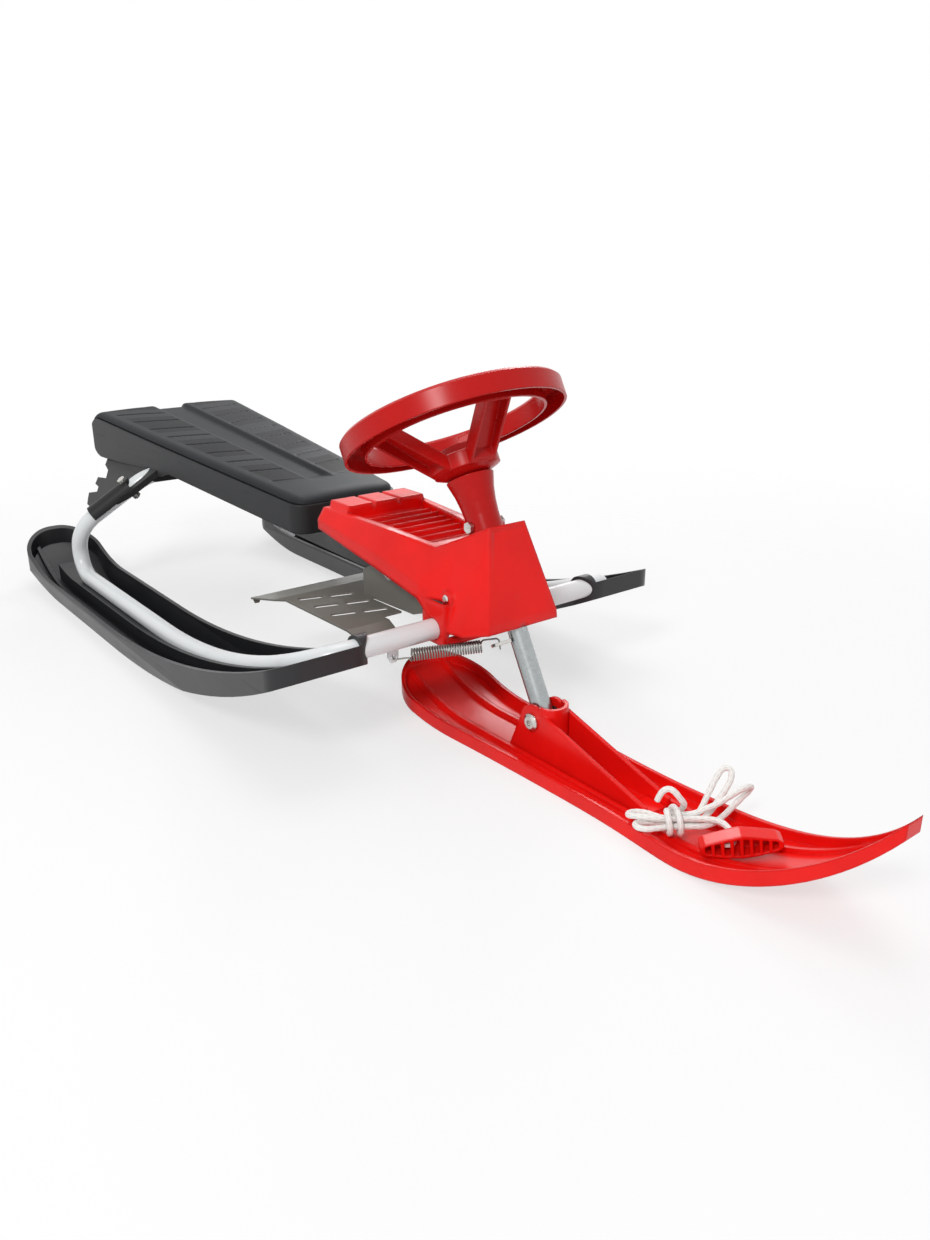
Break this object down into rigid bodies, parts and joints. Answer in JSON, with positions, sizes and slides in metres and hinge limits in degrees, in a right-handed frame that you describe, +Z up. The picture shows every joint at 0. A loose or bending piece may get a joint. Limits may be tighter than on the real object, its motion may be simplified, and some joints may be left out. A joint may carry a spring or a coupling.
{
  "type": "steering sled",
  "caption": "Steerable snow sled with a padded seat, a wheel-steered front ski on a raked column, a sprung foot brake, rear skis on a bent tube frame and a tied tow rope.",
  "frame": {"origin": "on the ground under the middle of the sled's length and width", "axes": "+X forward, +Y to the rider's left, +Z up"},
  "size_m": [1.2, 0.46, 0.351],
  "materials": {
    "white_paint": "gloss",
    "dark_paint": "satin",
    "grey_paint": "satin",
    "ski_plastic": "satin",
    "seat_plastic": "satin",
    "seat_cover": "satin",
    "bracket_plastic": "satin",
    "red_plastic": "gloss",
    "zinc_steel": "satin",
    "rope_fibre": "matt"
  },
  "bodies": {
    "frame": {"frame_tube": "white_paint", "rear_ski_right": "ski_plastic", "rear_ski_left": "ski_plastic", "ski_screws": "zinc_steel", "seat_bracket_right": "bracket_plastic", "seat_bracket_left": "bracket_plastic", "bracket_bolts": "zinc_steel", "bracket_nuts": "zinc_steel", "seat_base": "seat_plastic", "seat_pad": "seat_cover", "column_gusset": "dark_paint", "spine_beam": "dark_paint", "column_housing": "dark_paint", "lower_bush": "bracket_plastic", "upper_bush": "bracket_plastic", "console_strap": "dark_paint", "console_cover": "red_plastic", "console_screws": "zinc_steel", "spring_anchor": "white_paint", "return_spring": "zinc_steel", "brake_pin": "zinc_steel", "pin_clips": "zinc_steel"},
    "steering": {"steering_tube": "zinc_steel", "column_cone": "red_plastic", "cone_bolt": "zinc_steel", "cone_nut": "zinc_steel", "steering_wheel": "red_plastic", "wheel_bolt": "zinc_steel", "tube_plug": "zinc_steel", "wheel_cap": "red_plastic", "spring_tab": "zinc_steel", "thrust_collar": "zinc_steel"},
    "front_runner": {"front_ski": "red_plastic", "pivot_bolt": "zinc_steel", "pivot_nut": "zinc_steel", "pivot_bushes": "bracket_plastic", "tow_rope": "rope_fibre", "rope_handle": "red_plastic"},
    "brake": {"brake_plate": "grey_paint"}
  },
  "joints": [
    {"name": "steer", "type": "hinge", "parent": "frame", "child": "steering", "pos_m": [0.244, 0, 0.046], "axis": [-0.4802, 0, 0.8771], "range_deg": [-28, 28], "stiffness_Nm_per_rad": 0.4, "deforming": ["return_spring"]},
    {"name": "ski_pitch", "type": "hinge", "parent": "steering", "child": "front_runner", "pos_m": [0.24784, 0, 0.03898], "axis": [0, 1, 0], "range_deg": [-18, 10]},
    {"name": "brake_press", "type": "hinge", "parent": "frame", "child": "brake", "pos_m": [0.058, 0, 0.139], "axis": [0, -1, 0], "range_deg": [0, 42], "stiffness_Nm_per_rad": 1.2, "springref_deg": -45.84}
  ]
}
